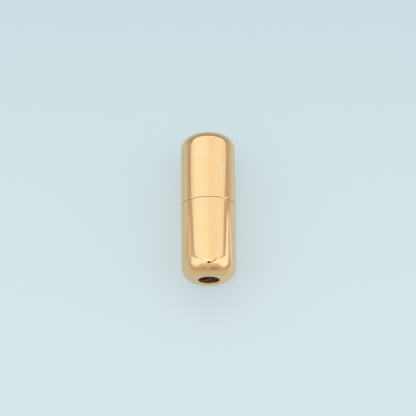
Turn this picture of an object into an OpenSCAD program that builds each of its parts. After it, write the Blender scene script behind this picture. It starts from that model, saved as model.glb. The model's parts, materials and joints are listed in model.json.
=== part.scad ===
// Round-ended barrel clasp that a pair of disc magnets holds shut.
// It lies on its side, shut, with its axis along Y. The socket shell points to -Y and the plug
// shell to +Y, and the origin is on the surface that it lies on, under the middle of its length.

/* [Shells] */
// Outside diameter of both shells
shell_d = 8; // [7.6:0.1:10]
// Length of the socket shell, from its rim at the seam to its end face
socket_shell_l = 11.6; // [11:0.1:16]
// Length of the plug shell, from its rim at the seam to its end face
plug_shell_l = 10.86; // [9.6:0.1:16]
// Radius of the rounding between a shell's side and its end face
end_round = 2.1; // [0.5:0.1:2.3]
// Radius of the outer edge of each rim at the seam
rim_round = 0.06; // [0.02:0.01:0.15]
// Gap between the two rims when the clasp is shut
seam_gap = 0.04; // [0.02:0.01:0.1]

/* [Cord holes] */
// Diameter of the hole that a cord is glued into
cord_hole_d = 3.1; // [1.5:0.1:3.4]
// Depth of the cord hole, from the end face to the end of its straight wall
cord_hole_depth = 5.5; // [3:0.1:5.8]
// Radius of the cord hole's rounded mouth
mouth_round = 0.15; // [0.05:0.05:0.25]
// Angle of the cone that the drill leaves at the bottom of the cord hole
drill_angle = 118; // [90:1:140]

/* [Magnets] */
// Diameter of each disc magnet
magnet_d = 6; // [4:0.1:6.2]
// Thickness of each disc magnet
magnet_t = 3; // [2:0.1:3.4]
// Radius of each magnet's rounded edges
magnet_round = 0.2; // [0.05:0.05:0.4]
// Height that the plug's magnet stands proud of the plug shell's rim
plug_proud = 1; // [0.5:0.1:1.3]

/* [Clearances] */
// Layer of glue round and under each magnet
glue_gap = 0.05; // [0.02:0.01:0.08]
// Clearance between the plug's magnet and the socket's wall, on the radius
slide_gap = 0.12; // [0.08:0.01:0.2]
// Gap between the two magnets when the clasp is shut
face_gap = 0.1; // [0.05:0.01:0.2]
// Width and depth of the sloping lead-in at the mouth of the socket
lead_in = 0.2; // [0.05:0.05:0.3]

/* [Hidden] */
$fn = 96;
shell_r = shell_d / 2;
cord_hole_r = cord_hole_d / 2;
magnet_r = magnet_d / 2;
pocket_r = magnet_r + glue_gap;
socket_r = magnet_r + slide_gap;
socket_depth = plug_proud + face_gap - seam_gap;
overall_l = socket_shell_l + seam_gap + plug_shell_l;
socket_rim_y = socket_shell_l - overall_l / 2;
plug_rim_y = socket_rim_y + seam_gap;
drill_tip = cord_hole_r / tan(drill_angle / 2);
// A cut reaches this far past the face that it opens
past = 1;

// The profiles below are drawn with X as the radius and Y as the distance in from a face.

// A quarter of a disc, from the centre of a rounding out to both of its edges
module quarter_disc(r) {
    intersection() {
        circle(r);
        square(r);
    }
}

// Solid cylinder of radius r and length l, with its edges rounded at the near and the far face
module rounded_profile(r, l, near_round, far_round) {
    translate([0, near_round])
        square([r, l - near_round - far_round]);
    square([r - near_round, l - far_round]);
    square([r - far_round, l]);
    translate([r - near_round, near_round])
        mirror([0, 1])
            quarter_disc(near_round);
    translate([r - far_round, l - far_round])
        quarter_disc(far_round);
}

// What the drill takes out of an end face at l: the straight wall, its cone and the rounded mouth
module cord_hole_profile(l) {
    wall_end = l - cord_hole_depth;
    translate([0, wall_end])
        square([cord_hole_r, cord_hole_depth + past]);
    polygon([[0, wall_end - drill_tip], [cord_hole_r, wall_end], [0, wall_end]]);
    translate([cord_hole_r, l - mouth_round])
        difference() {
            square([mouth_round, mouth_round + past]);
            translate([mouth_round, 0])
                circle(mouth_round);
        }
}

// A pocket from the rim down to the floor under a magnet
module pocket_profile(depth) {
    translate([0, -past])
        square([pocket_r, depth + glue_gap + past]);
}

// The wider mouth that the plug's magnet enters, with its sloping lead-in
module socket_profile() {
    translate([0, -past])
        square([socket_r, socket_depth + past]);
    polygon([
        [socket_r, 0],
        [socket_r + lead_in, 0],
        [socket_r, lead_in],
    ]);
}

// Turns a profile about the clasp's axis, with its Y = 0 at rim_y and its length towards +Y or -Y
module turn(rim_y, forward) {
    translate([0, rim_y, shell_r])
        rotate([forward ? -90 : 90, 0, 0])
            rotate_extrude()
                children();
}

module socket_shell() {
    color([0.96, 0.78, 0.52])
        turn(socket_rim_y, false)
            difference() {
                rounded_profile(shell_r, socket_shell_l, rim_round, end_round);
                cord_hole_profile(socket_shell_l);
                pocket_profile(socket_depth + magnet_t);
                socket_profile();
            }
}

module plug_shell() {
    color([0.96, 0.78, 0.52])
        turn(plug_rim_y, true)
            difference() {
                rounded_profile(shell_r, plug_shell_l, rim_round, end_round);
                cord_hole_profile(plug_shell_l);
                pocket_profile(magnet_t - plug_proud);
            }
}

module magnet(face_y, forward) {
    color([0.80, 0.81, 0.83])
        turn(face_y, forward)
            rounded_profile(magnet_r, magnet_t, magnet_round, magnet_round);
}

module socket_magnet() {
    magnet(socket_rim_y - socket_depth, false);
}

module plug_magnet() {
    magnet(plug_rim_y - plug_proud, true);
}

socket_shell();
socket_magnet();
plug_shell();
plug_magnet();
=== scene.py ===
# Polished barrel clasp, shut and lying on a pale surface inside a white light tent.
import json
import math

import bmesh
import bpy
from mathutils import Matrix, Vector


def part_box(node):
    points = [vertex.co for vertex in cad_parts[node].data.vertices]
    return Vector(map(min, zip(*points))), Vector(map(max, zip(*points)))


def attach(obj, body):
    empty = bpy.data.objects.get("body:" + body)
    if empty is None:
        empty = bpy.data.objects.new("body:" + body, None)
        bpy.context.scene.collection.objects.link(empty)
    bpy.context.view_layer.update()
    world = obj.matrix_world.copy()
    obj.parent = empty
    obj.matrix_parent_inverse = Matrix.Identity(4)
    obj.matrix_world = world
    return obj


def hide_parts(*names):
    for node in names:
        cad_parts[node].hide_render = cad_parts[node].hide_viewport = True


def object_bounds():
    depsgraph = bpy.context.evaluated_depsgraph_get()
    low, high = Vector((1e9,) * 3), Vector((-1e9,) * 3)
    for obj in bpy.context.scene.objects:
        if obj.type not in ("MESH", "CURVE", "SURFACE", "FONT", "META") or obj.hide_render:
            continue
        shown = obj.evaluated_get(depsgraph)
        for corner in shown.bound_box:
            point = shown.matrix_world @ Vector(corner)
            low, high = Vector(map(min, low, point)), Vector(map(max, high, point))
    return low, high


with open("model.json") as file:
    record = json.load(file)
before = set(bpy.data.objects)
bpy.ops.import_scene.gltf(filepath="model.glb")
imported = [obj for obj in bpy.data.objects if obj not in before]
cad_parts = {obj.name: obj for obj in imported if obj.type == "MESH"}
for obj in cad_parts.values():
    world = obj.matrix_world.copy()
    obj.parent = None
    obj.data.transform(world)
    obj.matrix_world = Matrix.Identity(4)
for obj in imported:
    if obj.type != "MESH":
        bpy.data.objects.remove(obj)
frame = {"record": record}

cad_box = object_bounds()

# Sizes, in metres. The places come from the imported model, and the small forms that it can't name are here.
MM = 0.001
END_ROUND = 2.1 * MM
RIM_ROUND = 0.035 * MM
MOUTH_ROUND = 0.15 * MM
LEAD_IN = 0.2 * MM
MAGNET_ROUND = 0.2 * MM
GLUE_GAP = 0.05 * MM
SLIDE_GAP = 0.12 * MM
DRILL_ANGLE = math.radians(118)

# Polishing has eased the end rounding into the barrel: the length of the eased stretch, its slope where it
# meets the rounding, and the power of its curve.
EASE_LENGTH = 0.6 * MM
EASE_DEG = 0.5
EASE_POWER = 3

# How many steps each part of a profile is divided into, and the turn about the axis.
CONE_STEPS = 6
BORE_STEPS = 60
MOUTH_STEPS = 10
END_STEPS = 80
EASE_STEPS = 8
BARREL_STEPS = 40
EDGE_STEPS = 8
LEAD_IN_STEPS = 2
SOCKET_STEPS = 8
POCKET_STEPS = 10
TURNS = 256

# An edge sharper than this isn't smoothed over, and a point nearer than this to the axis lies on it.
SHARP_EDGE = math.radians(25)
ON_AXIS = 1e-9

socket_lo, socket_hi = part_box("socket_shell")
plug_lo, plug_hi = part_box("plug_shell")
socket_magnet_lo, socket_magnet_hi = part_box("socket_magnet")
plug_magnet_lo, plug_magnet_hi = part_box("plug_magnet")
shell_r = (socket_hi.x - socket_lo.x) / 2
magnet_r = (plug_magnet_hi.x - plug_magnet_lo.x) / 2
pocket_r = magnet_r + GLUE_GAP
socket_r = magnet_r + SLIDE_GAP
axis_z = (socket_hi.z + socket_lo.z) / 2
mounts = {m["name"]: m for m in frame["record"]["mounts"]}


# Profiles. Each is a list of (radius, distance in from the rim or face, finish of what follows).

def arc(centre_r, centre_t, radius, start_deg, end_deg, steps, finish):
    """Points on an arc, from the radius direction towards growing distance."""
    points = []
    for i in range(steps + 1):
        a = math.radians(start_deg + (end_deg - start_deg) * i / steps)
        points.append((centre_r + radius * math.cos(a), centre_t + radius * math.sin(a), finish))
    return points


def straight(r0, t0, r1, t1, steps, finish):
    """Points from one end of a straight stretch up to, and without, its other end."""
    return [(r0 + (r1 - r0) * i / steps, t0 + (t1 - t0) * i / steps, finish) for i in range(steps)]


def cord_hole(length, mount):
    """From the drill's point at the bottom of the hole, up the wall and over the rounded mouth."""
    bore_r = mount["dims"]["r_mm"] * MM
    depth = mount["dims"]["length_mm"] * MM + MOUTH_ROUND
    wall_end = length - depth
    tip = bore_r / math.tan(DRILL_ANGLE / 2)
    mouth = length - MOUTH_ROUND
    points = straight(0, wall_end - tip, bore_r, wall_end, CONE_STEPS, "drilled")
    points += straight(bore_r, wall_end, bore_r, mouth, BORE_STEPS, "drilled")
    return points + arc(bore_r + MOUTH_ROUND, mouth, MOUTH_ROUND, 180, 90, MOUTH_STEPS, "polished")


def outside(length):
    """Over the rounded end, which polishing has eased into the barrel, along it and round the rim's edge."""
    drop = EASE_LENGTH * math.radians(EASE_DEG) / EASE_POWER
    round_start = length - END_ROUND
    ease_start = round_start - EASE_LENGTH
    points = arc(shell_r - END_ROUND - drop, round_start, END_ROUND, 90, EASE_DEG, END_STEPS, "polished")
    for i in range(EASE_STEPS - 1, 0, -1):
        share = i / EASE_STEPS
        points.append((shell_r - drop * share ** EASE_POWER, ease_start + EASE_LENGTH * share, "polished"))
    points += straight(shell_r, ease_start, shell_r, RIM_ROUND, BARREL_STEPS, "polished")
    return points + arc(shell_r - RIM_ROUND, RIM_ROUND, RIM_ROUND, 0, -90, EDGE_STEPS, "turned")


def socket_inside(socket_depth, pocket_depth):
    """From the rim's face in through the sloping lead-in, the socket and the magnet's pocket."""
    points = straight(socket_r + LEAD_IN, 0, socket_r, LEAD_IN, LEAD_IN_STEPS, "turned")
    points += straight(socket_r, LEAD_IN, socket_r, socket_depth, SOCKET_STEPS, "turned")
    points.append((socket_r, socket_depth, "turned"))
    points += straight(pocket_r, socket_depth, pocket_r, pocket_depth, POCKET_STEPS, "turned")
    return points + [(pocket_r, pocket_depth, "turned"), (0, pocket_depth, "turned")]


def plug_inside(pocket_depth):
    """From the rim's face in along the wall of the magnet's pocket to its floor."""
    points = straight(pocket_r, 0, pocket_r, pocket_depth, POCKET_STEPS, "turned")
    return points + [(pocket_r, pocket_depth, "turned"), (0, pocket_depth, "turned")]


def disc_profile(radius, thickness):
    """From the middle of the back face, over both rounded edges, to the middle of the front face."""
    edge_r = radius - MAGNET_ROUND
    points = [(0, thickness, "nickel")]
    points += arc(edge_r, thickness - MAGNET_ROUND, MAGNET_ROUND, 90, 0, EDGE_STEPS, "nickel")
    points += arc(edge_r, MAGNET_ROUND, MAGNET_ROUND, 0, -90, EDGE_STEPS, "nickel")
    return points + [(0, 0, "nickel")]


def lathe(name, profile, rim_y, forward, materials):
    """Turns a profile about the clasp's axis into one closed mesh, with a UV map of angle and path."""
    side = 1 if forward else -1
    finishes = [f for f in materials if any(p[2] == f for p in profile)]
    angles = [2 * math.pi * i / TURNS for i in range(TURNS)]
    bm = bmesh.new()
    uv = bm.loops.layers.uv.new("turned")
    rings = []
    for r, t, _ in profile:
        y = rim_y + side * t
        if r < ON_AXIS:
            rings.append([bm.verts.new((0, y, axis_z))])
            continue
        rings.append([bm.verts.new((r * math.sin(a), y, axis_z + r * math.cos(a))) for a in angles])
    path = [0.0]
    for (r0, t0, _), (r1, t1, _) in zip(profile, profile[1:]):
        path.append(path[-1] + math.hypot(r1 - r0, t1 - t0))
    for k, (a, b) in enumerate(zip(rings, rings[1:])):
        for i in range(TURNS):
            j = (i + 1) % TURNS
            corners = [(a[i % len(a)], i, k), (a[j % len(a)], i + 1, k)]
            corners += [(b[j % len(b)], i + 1, k + 1), (b[i % len(b)], i, k + 1)]
            if len(a) == 1:
                corners.pop(1)
            if len(b) == 1:
                corners.pop(-1)
            face = bm.faces.new([c[0] for c in corners])
            face.smooth = True
            face.material_index = finishes.index(profile[k][2])
            for loop, (_, turn, row) in zip(face.loops, corners):
                loop[uv].uv = (turn / TURNS, path[row] / path[-1])
    bmesh.ops.recalc_face_normals(bm, faces=bm.faces)
    for edge in bm.edges:
        if len(edge.link_faces) == 2 and edge.calc_face_angle() > SHARP_EDGE:
            edge.smooth = False
    mesh = bpy.data.meshes.new(name)
    bm.to_mesh(mesh)
    bm.free()
    for f in finishes:
        mesh.materials.append(materials[f])
    piece = bpy.data.objects.new(name, mesh)
    bpy.context.scene.collection.objects.link(piece)
    weighted = piece.modifiers.new("weighted", "WEIGHTED_NORMAL")
    weighted.keep_sharp = True
    return piece


# Node helpers.

class Graph:
    """Short ways to add nodes to one tree. A value may be a socket, or a number or colour to set."""

    def __init__(self, tree):
        self.tree = tree
        tree.nodes.clear()

    def node(self, kind, values=None, **settings):
        n = self.tree.nodes.new(kind)
        for key, value in settings.items():
            setattr(n, key, value)
        for key, value in (values or {}).items():
            self.put(n.inputs[key], value)
        return n

    def put(self, socket, value):
        if isinstance(value, bpy.types.NodeSocket):
            self.tree.links.new(value, socket)
        else:
            socket.default_value = value

    def math(self, operation, a, b=0.0, c=0.0):
        return self.node("ShaderNodeMath", {0: a, 1: b, 2: c}, operation=operation).outputs[0]

    def times(self, a, b):
        return self.math("MULTIPLY", a, b)

    def unsigned(self, value):
        """The value without its sign."""
        return self.math("ABSOLUTE", value)

    def ramp(self, value, lo, hi, out_lo=0.0, out_hi=1.0):
        """Smooth step from out_lo at lo to out_hi at hi."""
        inputs = {0: value, 1: lo, 2: hi, 3: out_lo, 4: out_hi}
        return self.node("ShaderNodeMapRange", inputs, interpolation_type="SMOOTHSTEP").outputs[0]

    def bump_at(self, value, centre, width):
        """1 at centre, falling smoothly to 0 at width either side."""
        away = self.unsigned(self.math("SUBTRACT", value, centre))
        return self.ramp(away, 0.0, width, 1.0, 0.0)

    def blend(self, factor, a, b):
        """Colour a where factor is 0, and b where it is 1."""
        n = self.node("ShaderNodeMix", data_type="RGBA")
        self.put(n.inputs[0], factor)
        self.put(n.inputs[6], a)
        self.put(n.inputs[7], b)
        return n.outputs[2]

    def curve(self, value, points, lo, hi):
        """A line through listed (input, output) points, with inputs from lo to hi."""
        unit = self.node("ShaderNodeMapRange", {0: value, 1: lo, 2: hi, 3: 0.0, 4: 1.0}).outputs[0]
        n = self.node("ShaderNodeFloatCurve", {1: unit})
        line = n.mapping.curves[0]
        n.mapping.use_clip = False
        while len(line.points) < len(points):
            line.points.new(0.5, 0.5)
        for point, (x, y) in zip(line.points, sorted(points)):
            point.location = ((x - lo) / (hi - lo), y)
            point.handle_type = "VECTOR"
        n.mapping.update()
        return n.outputs[0]

    def parts(self, vector):
        """The x, y and z of a vector."""
        return self.node("ShaderNodeSeparateXYZ", {0: vector}).outputs


def rgb(*values):
    return (*values, 1.0)


# Materials. The scale of a pattern is per millimetre, or on the "turned" map per turn and per whole profile.

GOLD = rgb(0.982, 0.687, 0.376)
GOLD_WARM = rgb(0.975, 0.665, 0.352)
GOLD_HAZY = rgb(0.984, 0.71, 0.425)
BRASS_DARK = rgb(0.23, 0.115, 0.06)
BRASS_CUT = rgb(0.88, 0.66, 0.42)
BRASS_BARE = rgb(0.67, 0.48, 0.28)
NICKEL = rgb(0.66, 0.62, 0.56)
NICKEL_DULL = rgb(0.58, 0.55, 0.50)

# Roughness of each finish where it is cleanest, and how much more its pattern adds.
GOLD_ROUGHNESS = 0.015
SMUDGE_ROUGHNESS = 0.02
HAIRLINE_ROUGHNESS = 0.08
SMEAR_ROUGHNESS = 0.03
TURNED_ROUGHNESS = (0.32, 0.2)
DRILLED_ROUGHNESS = (0.35, 0.3)
NICKEL_ROUGHNESS = (0.14, 0.14)

# Heights of the bumps, and how far the hairlines cut into the gold's wave, as a share of its height.
GOLD_WAVE = 0.003 * MM
HAIRLINE_CUT = 0.02
TURNED_RINGS = 0.006 * MM
DRILLED_RINGS = 0.02 * MM
NICKEL_GRAIN = 0.004 * MM

# Values of a noise between which a patch or mark goes from not there to full.
SMUDGES = (0.45, 0.7)
TINTS = (0.35, 0.65)
TURNED_BLOTCHES = (0.3, 0.7)
DRILLED_PATCHES = (0.35, 0.65)
DRILLED_BRIGHT_RINGS = (0.56, 0.68)
DRILLED_MARKS = (0.54, 0.62)
NICKEL_BLOTCHES = (0.35, 0.65)

# Hairlines, each as (direction in radians, width in the noise), and how the noise is stretched into them.
HAIRLINES = ((0.5, 0.006), (-0.9, 0.005), (1.45, 0.004))
HAIRLINE_STRETCH = (9.0, 0.22, 9.0)

# A wiped smear slants across the top of the far half. Millimetres on the clasp: the middle of its line, how
# far that line goes in Y for each millimetre in X, half its length in X, and its width.
SMEAR_MIDDLE = (0.35, 6.55)
SMEAR_SLOPE = -0.57
SMEAR_REACH = 2.3
SMEAR_WIDTH = 0.7

# The smear holds less where the noise is low: between these values of it, from this share up to the whole.
SMEAR_HOLDS = (0.3, 0.6)
SMEAR_LEAST = 0.7

# How much of the hole's wall is cut brass and not brown residue in the patches, and the share of painted
# light at the mouth, which brightens the wall down to this depth in millimetres.
PATCH_SHARE = 0.35
MOUTH_LIGHT_SHARE = 0.7
MOUTH_LIGHT_DEPTH = 0.5


def new_material(name):
    material = bpy.data.materials.new(name)
    material.use_nodes = True
    return material, Graph(material.node_tree)


def object_mm(g):
    """Place on the object in millimetres, so that the patterns' scales are per millimetre."""
    where = g.node("ShaderNodeTexCoord").outputs["Object"]
    return g.node("ShaderNodeVectorMath", {0: where, 3: 1 / MM}, operation="SCALE").outputs[0]


def noise(g, place, scale=1.0, detail=2.0, roughness=0.5, stretch=None, turn=(0, 0, 0)):
    if stretch:
        place = g.node("ShaderNodeMapping", {"Vector": place, "Scale": stretch, "Rotation": turn}).outputs[0]
    values = {"Vector": place, "Scale": scale, "Detail": detail, "Roughness": roughness}
    return g.node("ShaderNodeTexNoise", values).outputs[0]


def roughened(g, pattern, clean, more):
    """Roughness where a pattern is 0, and more of it as the pattern rises to 1."""
    return g.math("MULTIPLY_ADD", pattern, more, clean)


def finish_metal(g, colour, roughness, height, distance):
    bump = g.node("ShaderNodeBump", {"Height": height, "Strength": 1.0, "Distance": distance})
    values = {"Base Color": colour, "Roughness": roughness, "Normal": bump.outputs[0], "Metallic": 1.0}
    shader = g.node("ShaderNodeBsdfPrincipled", values)
    g.node("ShaderNodeOutputMaterial", {"Surface": shader.outputs[0]})


def scratches(g, place, angle, width):
    """Thin hairlines in one direction: 1 on a line and 0 between."""
    turn = (0, angle / 2, angle)
    lines = noise(g, place, detail=0.0, stretch=HAIRLINE_STRETCH, turn=turn)
    return g.bump_at(lines, 0.5, width)


def smear_on_top(g, place):
    """How much of the smear lies on a place: 1 along its line, less where the wiping broke off."""
    x, y, z = g.parts(place)
    along = g.math("SUBTRACT", x, SMEAR_MIDDLE[0])
    off_line = g.math("SUBTRACT", y, g.math("MULTIPLY_ADD", along, SMEAR_SLOPE, SMEAR_MIDDLE[1]))
    ends = g.ramp(g.unsigned(along), SMEAR_REACH, SMEAR_REACH / 2)
    line = g.times(g.bump_at(off_line, 0.0, SMEAR_WIDTH), ends)
    on_top = g.ramp(z, axis_z / MM, shell_r * 2 / MM)
    broken = g.ramp(noise(g, place, scale=1.5), *SMEAR_HOLDS, SMEAR_LEAST, 1.0)
    return g.times(g.times(line, on_top), broken)


def polished_gold():
    """The plated outside: a mirror with a slight wave, hairlines, smudges and the wiped smear."""
    material, g = new_material("polished_gold")
    place = object_mm(g)
    wave = noise(g, place, scale=0.35, detail=1.0, stretch=(1.0, 0.12, 1.0))
    smudge = g.ramp(noise(g, place, scale=0.5, detail=3.0, roughness=0.6), *SMUDGES)
    hair = scratches(g, place, *HAIRLINES[0])
    for angle, width in HAIRLINES[1:]:
        hair = g.math("MAXIMUM", hair, scratches(g, place, angle, width))
    colour = g.blend(g.ramp(noise(g, place, scale=0.8), *TINTS), GOLD, GOLD_WARM)
    smear = smear_on_top(g, place)
    colour = g.blend(smear, colour, GOLD_HAZY)
    roughness = roughened(g, smudge, GOLD_ROUGHNESS, SMUDGE_ROUGHNESS)
    roughness = roughened(g, hair, roughness, HAIRLINE_ROUGHNESS)
    roughness = roughened(g, smear, roughness, SMEAR_ROUGHNESS)
    height = g.math("MULTIPLY_ADD", hair, -HAIRLINE_CUT, wave)
    finish_metal(g, colour, roughness, height, GOLD_WAVE)
    return material


def turned_brass():
    """Rims and sockets: bare brass as it came from the lathe, with fine tool rings."""
    material, g = new_material("turned_brass")
    path = g.node("ShaderNodeUVMap", uv_map="turned").outputs[0]
    rings = noise(g, path, detail=3.0, roughness=0.7, stretch=(0.5, 900.0, 1.0))
    blotch = g.ramp(noise(g, object_mm(g), scale=1.2, detail=3.0), *TURNED_BLOTCHES)
    colour = g.blend(blotch, BRASS_BARE, BRASS_CUT)
    roughness = roughened(g, rings, *TURNED_ROUGHNESS)
    finish_metal(g, colour, roughness, rings, TURNED_RINGS)
    return material


def drilled_brass():
    """The cord hole's wall: drill rings, marks and brown residue, with painted glints on the rings and marks
    and painted light at the mouth.
    """
    material, g = new_material("drilled_brass")
    path = g.node("ShaderNodeUVMap", uv_map="turned").outputs[0]
    place = object_mm(g)
    rings = noise(g, path, detail=3.0, roughness=0.7, stretch=(2.0, 420.0, 1.0))
    marks = noise(g, path, roughness=0.6, stretch=(9.0, 120.0, 1.0))
    patch = g.ramp(noise(g, place, scale=1.6, detail=4.0, roughness=0.65), *DRILLED_PATCHES)
    depth = g.math("SUBTRACT", plug_hi.y / MM, g.unsigned(g.parts(place)[1]))
    # Painted light: the wall is painted paler near the mouth, where light from outside reaches in.
    painted_mouth_light = g.ramp(depth, MOUTH_LIGHT_DEPTH, MOUTH_ROUND / MM, 0.0, MOUTH_LIGHT_SHARE)
    # The drill rings and marks are real, but their bright crests and streaks are painted glints of them
    # catching the light.
    bright = g.math("MAXIMUM", g.times(patch, PATCH_SHARE), g.ramp(rings, *DRILLED_BRIGHT_RINGS))
    bright = g.math("MAXIMUM", bright, g.ramp(marks, *DRILLED_MARKS))
    bright = g.math("MAXIMUM", bright, painted_mouth_light)
    colour = g.blend(bright, BRASS_DARK, BRASS_CUT)
    roughness = roughened(g, rings, *DRILLED_ROUGHNESS)
    finish_metal(g, colour, roughness, rings, DRILLED_RINGS)
    return material


def plated_nickel():
    """The magnets: bright plate with a fine grain and duller blotches."""
    material, g = new_material("plated_nickel")
    place = object_mm(g)
    grain = noise(g, place, scale=14.0, detail=3.0, roughness=0.6)
    blotch = g.ramp(noise(g, place, scale=0.9, detail=3.0), *NICKEL_BLOTCHES)
    colour = g.blend(blotch, NICKEL, NICKEL_DULL)
    roughness = roughened(g, grain, *NICKEL_ROUGHNESS)
    finish_metal(g, colour, roughness, grain, NICKEL_GRAIN)
    return material


# The floor: two flat parts with one finish, which glows with half its colour as painted light that softens
# the clasp's shadow on it. The near part also shows in the metal.
# Past it the metal mirrors the tent's own darker floor, as in a tent with a pale sheet laid in its middle.

SHEET = (-14 * MM, -15.5 * MM, 10 * MM, 16.5 * MM)
FLOOR_REACH = 3.0
# From FLOOR_FAR to FLOOR_NEAR the floor is paler towards the camera: painted light falloff.
FLOOR_FAR = rgb(0.637, 0.772, 0.830)
FLOOR_NEAR = rgb(0.709, 0.832, 0.884)
FLOOR_FADE_MM = (-31.0, 33.0)
FLOOR_FADE_POWER = 1.5
MOTTLE = 0.06
FIBRE_HEIGHT = 0.01 * MM
FLOOR_GLOW_SHARE = 0.5
WELD = 1e-6

# The sheet's brightness as the metal mirrors it, against 1 as it is seen: painted shade left and right of the
# clasp, and painted light past its far end, seen only in the metal. The borders are in millimetres: in x from
# left to right, in y past the end, and there in from the sides, in x without its sign.
MIRRORED_LEFT = rgb(0.88, 0.90, 0.90)
MIRRORED_RIGHT = rgb(0.94, 0.95, 0.95)
MIRRORED_FAR = rgb(1.12, 1.18, 1.18)
AS_SEEN = rgb(1, 1, 1)
MIRRORED_TO_RIGHT_MM = (-4.0, 4.0)
MIRRORED_PAST_END_MM = (11.0, 14.0)
MIRRORED_IN_MIDDLE_MM = (5.0, 0.5)


def mirrored_share(g, x, y):
    """Painted shade and light on the sheet for a ray that comes off the metal, and 1 for any other ray."""
    share = g.blend(g.ramp(x, *MIRRORED_TO_RIGHT_MM), MIRRORED_LEFT, MIRRORED_RIGHT)
    in_middle = g.ramp(g.unsigned(x), *MIRRORED_IN_MIDDLE_MM)
    past_end = g.times(g.ramp(y, *MIRRORED_PAST_END_MM), in_middle)
    share = g.blend(past_end, share, MIRRORED_FAR)
    mirrored = g.node("ShaderNodeLightPath").outputs["Is Glossy Ray"]
    return g.blend(mirrored, AS_SEEN, share)


def floor_material():
    """Pale paper, paler towards the camera as painted light falloff, with a faint mottle and fibres, glowing
    with part of its colour as painted light.
    """
    material, g = new_material("pale_sheet")
    place = object_mm(g)
    x, y, _ = g.parts(place)
    fade = g.node("ShaderNodeMapRange", {0: y, 1: FLOOR_FADE_MM[0], 2: FLOOR_FADE_MM[1]}).outputs[0]
    fade = g.math("SUBTRACT", 1.0, g.math("POWER", fade, FLOOR_FADE_POWER))
    mottle = g.math("SUBTRACT", noise(g, place, scale=0.25, detail=3.0), 0.5)
    fade = g.math("MULTIPLY_ADD", mottle, MOTTLE, fade)
    colour = g.blend(fade, FLOOR_FAR, FLOOR_NEAR)
    share = mirrored_share(g, x, y)
    colour = g.node("ShaderNodeVectorMath", {0: colour, 1: share}, operation="MULTIPLY").outputs[0]
    fibre = noise(g, place, scale=6.0, detail=3.0, roughness=0.6)
    bump = g.node("ShaderNodeBump", {"Height": fibre, "Strength": 0.2, "Distance": FIBRE_HEIGHT})
    sheet = {"Base Color": colour, "Roughness": 0.9, "Normal": bump.outputs[0], "Specular IOR Level": 0.1}
    lit = g.node("ShaderNodeBsdfPrincipled", sheet)
    # Painted light: the floor glows with part of its colour, which softens the clasp's shadow on it.
    glow = g.node("ShaderNodeEmission", {"Color": colour})
    both = g.node("ShaderNodeMixShader", {0: FLOOR_GLOW_SHARE, 1: lit.outputs[0], 2: glow.outputs[0]})
    g.node("ShaderNodeOutputMaterial", {"Surface": both.outputs[0]})
    return material


def flat(name, rectangles, material):
    """One staged mesh of level rectangles on the floor's plane, each as (x0, y0, x1, y1)."""
    bm = bmesh.new()
    for x0, y0, x1, y1 in rectangles:
        bm.faces.new([bm.verts.new(p) for p in ((x0, y0, 0), (x1, y0, 0), (x1, y1, 0), (x0, y1, 0))])
    bmesh.ops.remove_doubles(bm, verts=bm.verts, dist=WELD)
    mesh = bpy.data.meshes.new(name)
    bm.to_mesh(mesh)
    bm.free()
    mesh.materials.append(material)
    part = bpy.data.objects.new(name, mesh)
    bpy.context.scene.collection.objects.link(part)
    return part


def build_floor():
    material = floor_material()
    x0, y0, x1, y1 = SHEET
    flat("floor_sheet", [SHEET], material)
    r = FLOOR_REACH
    around = [(-r, -r, r, y0), (-r, y1, r, r), (-r, y0, x0, y1), (x1, y0, r, y1)]
    flat("floor_round", around, material).visible_glossy = False


# The light: a white tent, painted by direction. Angles are in degrees, azimuth from +Y towards +X, and
# x, y and z are the parts of the unit direction.

CANOPY_LEFT = rgb(1.04, 1.085, 1.075)
CANOPY_MIDDLE = rgb(0.98, 0.965, 0.905)
CANOPY_RIGHT = rgb(0.985, 0.99, 0.96)
CANOPY_LOW = rgb(1.03, 1.05, 1.10)
CANOPY_EDGE = rgb(0.93, 0.925, 0.89)
TOP = rgb(1.34, 1.43, 1.45)
WALL = rgb(1.17, 1.17, 1.17)
WALL_LEFT_LOW = rgb(1.02, 1.01, 0.99)
SEAM_DARK = rgb(0.45, 0.38, 0.29)
SEAM_SIDE = rgb(0.57, 0.50, 0.42)
LENS_DARK = rgb(0.03, 0.02, 0.015)
DOOR_TOP = rgb(0.84, 0.73, 0.66)
DOOR = rgb(0.66, 0.56, 0.51)
DOOR_DARK = rgb(0.35, 0.27, 0.18)
BAND_BACK = rgb(0.42, 0.405, 0.38)
BAND_FAR = rgb(0.50, 0.47, 0.43)
BAND_LEFT = rgb(0.56, 0.525, 0.485)
BAND_RIGHT = rgb(0.49, 0.455, 0.43)
BAND_FRONT = rgb(0.55, 0.51, 0.455)
BELOW_BACK = rgb(0.55, 0.75, 0.85)
BELOW_CORNER = rgb(0.53, 0.66, 0.73)
BELOW_LEFT = rgb(0.64, 0.70, 0.71)
BELOW_RIGHT = rgb(0.68, 0.74, 0.77)
BELOW_FRONT = rgb(0.60, 0.62, 0.59)
BACKDROP = rgb(0.60, 0.71, 0.765)

# Each border is given as where one colour starts to give way to the next, and where it has: in x, in x
# without its sign (SIZE_X), in y, in elevation, or in degrees over the hem.
CANOPY_TO_MIDDLE_X = (-0.35, 0.2)
CANOPY_TO_RIGHT_X = (0.4, 0.6)
CANOPY_TO_LOW_DEG = (20.0, 6.0)
CANOPY_LOW_SIZE_X = (0.82, 0.6)
CANOPY_TO_TOP_Y = (0.16, -0.08)
CANOPY_TO_EDGE_SIZE_X = (0.74, 0.90)
WALL_TO_LOW_ELEVATION = (32.0, 24.0)
WALL_LOW_X = (-0.4, -0.8)
WALL_TO_BAND_Y = (0.3605, 0.3665)
LEFT_TO_RIGHT_X = (-0.1, 0.1)

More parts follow.
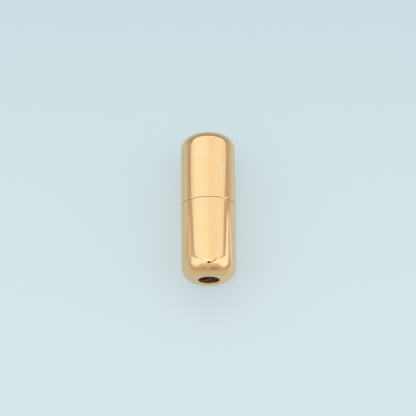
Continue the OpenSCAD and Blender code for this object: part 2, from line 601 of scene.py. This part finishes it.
# The canopy's and the walls' lower edges, as (azimuth, elevation), and half the width of their blur.
CANOPY_HEM = (
    (-180, 11), (-67.5, 11), (-66, 16.3), (-55, 16), (-45, 13.6), (-30, 14), (-15, 18.5), (0, 21.5),
    (15, 20), (30, 14.3), (45, 8.4), (55, 8.2), (62, 9.4), (66, 9.5), (67.3, 6.2), (67.9, 9.5), (180, 8),
)
WALL_HEM = (
    (-180, 17), (-110, 15.5), (-90, 12), (-72, 10), (-65, 9), (0, 4), (65, -1.5), (69, -0.5), (72, 2.2),
    (80, 3.6), (90, 3.4), (100, 5), (110, 7.5), (120, 9), (180, 12),
)
HEM_BLUR = (
    (-180, 8), (-72, 8), (-66, 1.5), (58, 1.5), (68, 4), (72, 2.8), (90, 3), (110, 5), (120, 6), (180, 6),
)

# Near the seam the walls' hem rises on the left and sinks on the right: from y, to y, by degrees.
HEM_RISES_LEFT = (0.3505, 0.357, 8.0)
HEM_SINKS_RIGHT = (0.3595, 0.3645, -6.0)

# The dark seam between canopy and walls, as (x without its sign, y), and half its width.
SEAM_LINE = (
    (0, -0.31), (0.10, -0.31), (0.18, -0.24), (0.25, -0.212), (0.32, -0.10), (0.385, -0.03), (0.45, 0.082),
    (0.507, 0.146), (0.565, 0.222), (0.616, 0.28), (0.665, 0.325), (0.71, 0.3427), (0.757, 0.346),
    (0.80, 0.3504), (0.838, 0.3525), (0.85, 0.3548), (0.87, 0.3581), (0.89, 0.36), (0.905, 0.3615),
    (0.9146, 0.364), (0.923, 0.3665), (0.932, 0.3705), (0.94, 0.374), (1, 0.375),
)
SEAM_HALF_WIDTH = (
    (0, 0.024), (0.56, 0.024), (0.62, 0.02), (0.66, 0.012), (0.71, 0.006), (0.757, 0.004), (0.80, 0.0033),
    (0.838, 0.0027), (0.85, 0.0033), (0.87, 0.0055), (0.89, 0.0062), (0.905, 0.0085), (0.9146, 0.0088),
    (0.923, 0.0088), (0.932, 0.0103), (0.94, 0.004), (1, 0.001),
)

# Low down, past this border, both arms of the seam lie this far to the left.
SEAM_TO_LEFT_SIZE_X = (0.80, 0.88)
SEAM_TO_LEFT = 0.006

# The seam's right corner is pushed out: at which x, how far that reaches to either side, and by how much.
SEAM_CORNER_X = 0.70
SEAM_CORNER_REACH = 0.16
SEAM_CORNER_OUT = 0.045

# Part of the seam's right arm is wider: where that starts and ends, and what it adds to half the width.
SEAM_ARM_STARTS_X = (0.10, 0.18)
SEAM_ARM_ENDS_X = (0.56, 0.46)
SEAM_ARM_WIDER = 0.078

# Where the seam takes its side colour, how its edges fade, in half-widths from its middle, and how sharply
# the canopy gives way to the walls there, in y past the seam.
SEAM_TO_SIDE_SIZE_X = (0.62, 0.72)
SEAM_FADE = (1.3, 0.7)
SEAM_TO_WALLS_Y = (0.001, -0.001)

# The lens that shows dark near the top: its direction in x and y, and half its size and blur in degrees.
LENS = (0.0, -0.285)
LENS_HALF_ANGLE = 8
LENS_BLUR = 1.5

# The open front, on a plane at -Y at a distance of 1. To either side it starts to show at the outer width and
# shows fully from the inner one in. Its border in height is given on that plane too, and the one in y by
# direction. The last value keeps the distance ahead over 0.
DOOR_OUTER = 2.4
DOOR_INNER_LEFT = 0.45
DOOR_INNER_RIGHT = 0.8
DOOR_HEIGHT = (3.1, 1.8)
DOOR_Y = (0.0, -0.1)
LEAST_AHEAD = 0.001

# What shows through it, from its top down to the dark band.
DOOR_TO_MIDDLE_ELEVATION = (64.0, 38.0)
DOOR_TO_BAND_ELEVATION = (28.0, 7.0)

# The dark figure in the open front: its sides in degrees off the middle, and the elevations of its top and
# foot. A paler strip runs down its middle. It is wider on the left, where the whole figure is paler too.
FIGURE_SIDES = (48.0, 18.0)
FIGURE_TOP = (43.0, 14.0)
FIGURE_FOOT = (-1.0, 9.0)
FIGURE_TO_RIGHT_X = (-0.02, 0.02)
FIGURE_SHARE_LEFT = 0.8
STRIP_WIDTH_LEFT = 18.0
STRIP_WIDTH_RIGHT = 8.0
STRIP_SHARE = 0.3

# Borders under the hem, and the elevations at which the band has faded into the tent's floor: from left to
# right before and past the far border, from the middle of the back to its corners, and at the front.
LOW_TO_RIGHT_X = (-0.3, 0.3)
LOW_TO_CORNER_SIZE_X = (0.08, 0.5)
LOW_TO_FAR_Y = (0.364, 0.367)
LOW_TO_BACK_Y = (0.38, 0.55)
LOW_TO_FRONT_Y = (-0.3, -0.7)
FADED_NEAR = (-14.0, -20.0)
FADED_FAR = (-18.0, -34.0)
FADED_BACK = (-38.0, -30.0)
FADED_FRONT = -15.0

# Light and dark streaks low on the walls beside the near half, as (is right, y where it starts to show,
# elevation at STREAK_Y, change of elevation for each unit of y past that, half-width in degrees, colour).
STREAK_Y = 0.3549
STREAKS = (
    (False, 0.345, -17.5, 1830, 7, rgb(0.49, 0.46, 0.42)),
    (False, 0.345, -2.0, -400, 9, rgb(0.66, 0.63, 0.58)),
    (False, 0.345, 5.0, -700, 7, rgb(0.80, 0.78, 0.74)),
    (True, 0.345, -7.0, 0, 12, rgb(0.70, 0.67, 0.64)),
    (True, 0.345, -28.5, 500, 7, rgb(0.58, 0.63, 0.67)),
    (True, 0.0, -20.0, 1060, 8, rgb(0.88, 0.88, 0.88)),
)

# The y at which every streak shows fully, how far before STREAK_Y its elevation still changes, and the border
# by which it has ended at the seam.
STREAK_FULL_Y = 0.353
STREAK_LEAST_PAST = -0.002
STREAKS_END_Y = (0.3645, 0.361)


def seam_lines(g, x, y):
    """How far a direction is in the walls, how much of the seam it shows, and the seam's colour."""
    start, full = SEAM_TO_LEFT_SIZE_X
    lean = g.math("SUBTRACT", g.ramp(x, start, full), g.ramp(x, -start, -full))
    side = g.math("MULTIPLY_ADD", lean, SEAM_TO_LEFT, g.unsigned(x))
    corner = g.bump_at(x, SEAM_CORNER_X, SEAM_CORNER_REACH)
    side = g.math("MULTIPLY_ADD", corner, -SEAM_CORNER_OUT, side)
    past = g.math("SUBTRACT", y, g.curve(side, SEAM_LINE, 0, 1))
    right_arm = g.times(g.ramp(x, *SEAM_ARM_STARTS_X), g.ramp(x, *SEAM_ARM_ENDS_X))
    width = g.math("MULTIPLY_ADD", right_arm, SEAM_ARM_WIDER, g.curve(side, SEAM_HALF_WIDTH, 0, 1))
    share = g.math("DIVIDE", g.unsigned(past), width)
    colour = g.blend(g.ramp(side, *SEAM_TO_SIDE_SIZE_X), SEAM_DARK, SEAM_SIDE)
    return g.ramp(past, *SEAM_TO_WALLS_Y), g.ramp(share, *SEAM_FADE), colour


def tent_hem(g, in_walls, y, azimuth, right):
    """Elevation of the tent's lower edge: the canopy's hem, or the walls' where the direction is in them."""
    canopy_hem = g.curve(azimuth, CANOPY_HEM, -180, 180)
    wall_hem = g.curve(azimuth, WALL_HEM, -180, 180)
    from_y, to_y, rise = HEM_RISES_LEFT
    rises = g.ramp(y, from_y, to_y, 0.0, rise)
    from_y, to_y, sink = HEM_SINKS_RIGHT
    sinks = g.ramp(y, from_y, to_y, 0.0, sink)
    wall_hem = g.math("ADD", wall_hem, g.ramp(right, 0.0, 1.0, rises, sinks))
    return g.math("MULTIPLY_ADD", in_walls, g.math("SUBTRACT", wall_hem, canopy_hem), canopy_hem)


def canopy_colour(g, x, y, over_hem):
    """The canopy from left to right, with its own light over the hem, the bright top and the duller edges."""
    canopy = g.blend(g.ramp(x, *CANOPY_TO_MIDDLE_X), CANOPY_LEFT, CANOPY_MIDDLE)
    canopy = g.blend(g.ramp(x, *CANOPY_TO_RIGHT_X), canopy, CANOPY_RIGHT)
    low = g.times(g.ramp(over_hem, *CANOPY_TO_LOW_DEG), g.ramp(g.unsigned(x), *CANOPY_LOW_SIZE_X))
    canopy = g.blend(low, canopy, CANOPY_LOW)
    canopy = g.blend(g.ramp(y, *CANOPY_TO_TOP_Y), canopy, TOP)
    return g.blend(g.ramp(g.unsigned(x), *CANOPY_TO_EDGE_SIZE_X), canopy, CANOPY_EDGE)


def wall_colour(g, x, y, elevation, right):
    """The walls: duller low on the left, and turning into the dark band by the seam on the right."""
    low = g.times(g.ramp(elevation, *WALL_TO_LOW_ELEVATION), g.ramp(x, *WALL_LOW_X))
    wall = g.blend(low, WALL, WALL_LEFT_LOW)
    return g.blend(g.times(g.ramp(y, *WALL_TO_BAND_Y), right), wall, BAND_RIGHT)


def front_opening(g, x, y, z, azimuth, elevation):
    """The tent's open front, as a wide doorway on a plane at -Y, and what shows through it."""
    ahead = g.math("MAXIMUM", g.times(y, -1.0), LEAST_AHEAD)
    inner = g.ramp(x, *LEFT_TO_RIGHT_X, DOOR_INNER_LEFT, DOOR_INNER_RIGHT)
    inside = g.ramp(g.math("DIVIDE", g.unsigned(x), ahead), DOOR_OUTER, inner)
    inside = g.times(inside, g.ramp(g.math("DIVIDE", z, ahead), *DOOR_HEIGHT))
    inside = g.times(inside, g.ramp(y, *DOOR_Y))
    off_middle = g.math("SUBTRACT", 180.0, g.unsigned(azimuth))
    right = g.ramp(x, *FIGURE_TO_RIGHT_X)
    change = STRIP_WIDTH_RIGHT - STRIP_WIDTH_LEFT
    strip_width = g.math("MULTIPLY_ADD", right, change, STRIP_WIDTH_LEFT)
    off_strip = g.math("DIVIDE", off_middle, strip_width)
    figure = g.times(g.ramp(off_middle, *FIGURE_SIDES), g.ramp(off_strip, 0.0, 1.0, STRIP_SHARE, 1.0))
    figure = g.times(figure, g.ramp(elevation, *FIGURE_TOP))
    figure = g.times(figure, g.ramp(elevation, *FIGURE_FOOT))
    darker = g.math("MULTIPLY_ADD", right, 1 - FIGURE_SHARE_LEFT, FIGURE_SHARE_LEFT)
    figure = g.times(figure, darker)
    door = g.blend(g.ramp(elevation, *DOOR_TO_MIDDLE_ELEVATION), DOOR_TOP, DOOR)
    door = g.blend(g.ramp(elevation, *DOOR_TO_BAND_ELEVATION), door, BAND_FRONT)
    return inside, g.blend(figure, door, DOOR_DARK)


def streaks(g, x, y, elevation, low):
    """Lays the streaks over a colour, on the stretch of directions that the near half's sides mirror."""
    up_to_seam = g.ramp(y, *STREAKS_END_Y)
    past = g.math("MAXIMUM", g.math("SUBTRACT", y, STREAK_Y), STREAK_LEAST_PAST)
    for is_right, first, start, change, width, colour in STREAKS:
        side = g.ramp(x, *LEFT_TO_RIGHT_X, 0.0 if is_right else 1.0, 1.0 if is_right else 0.0)
        near = g.times(g.ramp(y, first, STREAK_FULL_Y), up_to_seam)
        off = g.math("SUBTRACT", elevation, g.math("MULTIPLY_ADD", past, change, start))
        line = g.times(g.bump_at(off, 0.0, width), g.times(side, near))
        low = g.blend(line, low, colour)
    return low


def under_hem(g, x, y, elevation):
    """The dark band under the hem, and the tent's floor that it fades into below."""
    right = g.ramp(x, *LOW_TO_RIGHT_X)
    far = g.ramp(y, *LOW_TO_FAR_Y)
    back = g.ramp(y, *LOW_TO_BACK_Y)
    front = g.ramp(y, *LOW_TO_FRONT_Y)
    corner = g.ramp(g.unsigned(x), *LOW_TO_CORNER_SIZE_X)
    band = g.blend(far, g.blend(right, BAND_LEFT, BAND_RIGHT), BAND_FAR)
    band = g.blend(front, g.blend(back, band, BAND_BACK), BAND_FRONT)
    below_back = g.blend(corner, BELOW_BACK, BELOW_CORNER)
    below = g.blend(back, g.blend(right, BELOW_LEFT, BELOW_RIGHT), below_back)
    below = g.blend(front, below, BELOW_FRONT)
    near_faded = g.ramp(x, *LOW_TO_RIGHT_X, *FADED_NEAR)
    far_faded = g.ramp(x, *LOW_TO_RIGHT_X, *FADED_FAR)
    faded = g.ramp(y, *LOW_TO_FAR_Y, near_faded, far_faded)
    faded = g.ramp(y, *LOW_TO_BACK_Y, faded, g.ramp(corner, 0.0, 1.0, *FADED_BACK))
    faded = g.ramp(y, *LOW_TO_FRONT_Y, faded, FADED_FRONT)
    low = g.blend(g.math("DIVIDE", elevation, faded), band, below)
    return streaks(g, x, y, elevation, low)


def build_world():
    world = bpy.data.worlds.new("tent")
    bpy.context.scene.world = world
    world.use_nodes = True
    g = Graph(world.node_tree)
    direction = g.node("ShaderNodeTexCoord").outputs["Generated"]
    x, y, z = g.parts(direction)
    azimuth = g.math("DEGREES", g.math("ARCTAN2", x, y))
    elevation = g.math("DEGREES", g.math("ARCSINE", z))
    right = g.ramp(x, *LEFT_TO_RIGHT_X)

    in_walls, dark_line, line_colour = seam_lines(g, x, y)
    over_hem = g.math("SUBTRACT", elevation, tent_hem(g, in_walls, y, azimuth, right))
    canopy = canopy_colour(g, x, y, over_hem)
    wall = wall_colour(g, x, y, elevation, right)
    tent = g.blend(in_walls, canopy, wall)
    tent = g.blend(dark_line, tent, line_colour)
    inside, opening = front_opening(g, x, y, z, azimuth, elevation)
    tent = g.blend(inside, tent, opening)

    blur = g.curve(azimuth, HEM_BLUR, -180, 180)
    above = g.ramp(g.math("DIVIDE", over_hem, blur), -1.0, 1.0)
    tent = g.blend(above, under_hem(g, x, y, elevation), tent)

    lens = (*LENS, math.sqrt(1 - LENS[0] ** 2 - LENS[1] ** 2))
    towards = g.node("ShaderNodeVectorMath", {0: direction, 1: lens}, operation="DOT_PRODUCT")
    off_lens = g.math("DEGREES", g.math("ARCCOSINE", g.math("MINIMUM", towards.outputs["Value"], 1.0)))
    in_lens = g.ramp(off_lens, LENS_HALF_ANGLE + LENS_BLUR, LENS_HALF_ANGLE - LENS_BLUR)
    tent = g.blend(in_lens, tent, LENS_DARK)

    seen = g.node("ShaderNodeLightPath").outputs["Is Camera Ray"]
    tent = g.blend(seen, tent, BACKDROP)
    background = g.node("ShaderNodeBackground", {"Color": tent, "Strength": 1.0})
    g.node("ShaderNodeOutputWorld", {"Surface": background.outputs[0]})


# The camera, from the photograph's frame: where the middle of the clasp's axis lies in it, and how large.

FRAME_PX = 416
FOCAL_PX = 4090
MIDDLE_PX = (208.43, 208.71)
CAMERA_DISTANCE = 0.6
CAMERA_ELEVATION = math.radians(68.6)
CAMERA_YAW = math.radians(-0.43)
SENSOR_MM = 36.0
CLIP = (0.01, 10.0)


def build_camera():
    data = bpy.data.cameras.new("camera")
    data.sensor_width = SENSOR_MM
    data.lens = SENSOR_MM * FOCAL_PX / FRAME_PX
    data.clip_start, data.clip_end = CLIP
    camera = bpy.data.objects.new("camera", data)
    bpy.context.scene.collection.objects.link(camera)
    bpy.context.scene.camera = camera
    level = math.cos(CAMERA_ELEVATION)
    back_x = math.sin(CAMERA_YAW) * level
    back_y = -math.cos(CAMERA_YAW) * level
    back = Vector((back_x, back_y, math.sin(CAMERA_ELEVATION)))
    right = Vector((math.cos(CAMERA_YAW), math.sin(CAMERA_YAW), 0.0))
    up = back.cross(right)
    middle = (cad_box[0] + cad_box[1]) / 2
    eye = middle + back * CAMERA_DISTANCE
    pixel = CAMERA_DISTANCE / FOCAL_PX
    to_right = right * (MIDDLE_PX[0] - FRAME_PX / 2) * pixel
    to_bottom = up * (MIDDLE_PX[1] - FRAME_PX / 2) * pixel
    aim = middle - to_right + to_bottom
    away = (eye - aim).normalized()
    side = (right - away * right.dot(away)).normalized()
    turn = Matrix((side, away.cross(side), away)).transposed()
    camera.matrix_world = Matrix.Translation(eye) @ turn.to_4x4()


# The pieces.

def build_clasp():
    metals = {
        "polished": polished_gold(),
        "turned": turned_brass(),
        "drilled": drilled_brass(),
        "nickel": plated_nickel(),
    }
    socket_l = socket_hi.y - socket_lo.y
    plug_l = plug_hi.y - plug_lo.y
    socket_depth = socket_hi.y - socket_magnet_hi.y
    pocket_depth = socket_hi.y - socket_magnet_lo.y + GLUE_GAP
    plug_pocket = plug_magnet_hi.y - plug_lo.y + GLUE_GAP
    magnet_t = plug_magnet_hi.y - plug_magnet_lo.y

    socket_profile = cord_hole(socket_l, mounts["socket_cord_hole"]) + outside(socket_l)
    socket_profile += socket_inside(socket_depth, pocket_depth)
    plug_profile = cord_hole(plug_l, mounts["plug_cord_hole"]) + outside(plug_l) + plug_inside(plug_pocket)
    disc = disc_profile(magnet_r, magnet_t)

    # Name, profile, where its distances start, whether they grow towards +Y, and node, body and slot.
    rows = (
        ("gold_socket_shell", socket_profile, socket_hi.y, False,
            "socket_shell", "socket_half", "gold_plate"),
        ("gold_plug_shell", plug_profile, plug_lo.y, True,
            "plug_shell", "plug_shell", "gold_plate"),
        ("nickel_socket_magnet", disc, socket_magnet_hi.y, False,
            "socket_magnet", "socket_half", "magnet_nickel"),
        ("nickel_plug_magnet", disc, plug_magnet_lo.y, True,
            "plug_magnet", "plug_magnet", "magnet_nickel"),
    )
    for name, profile, rim_y, forward, node, body, slot in rows:
        piece = lathe(name, profile, rim_y, forward, metals)
        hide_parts(node)
        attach(piece, body)


build_clasp()
build_floor()
build_world()
build_camera()
bpy.context.scene.view_settings.view_transform = "Standard"
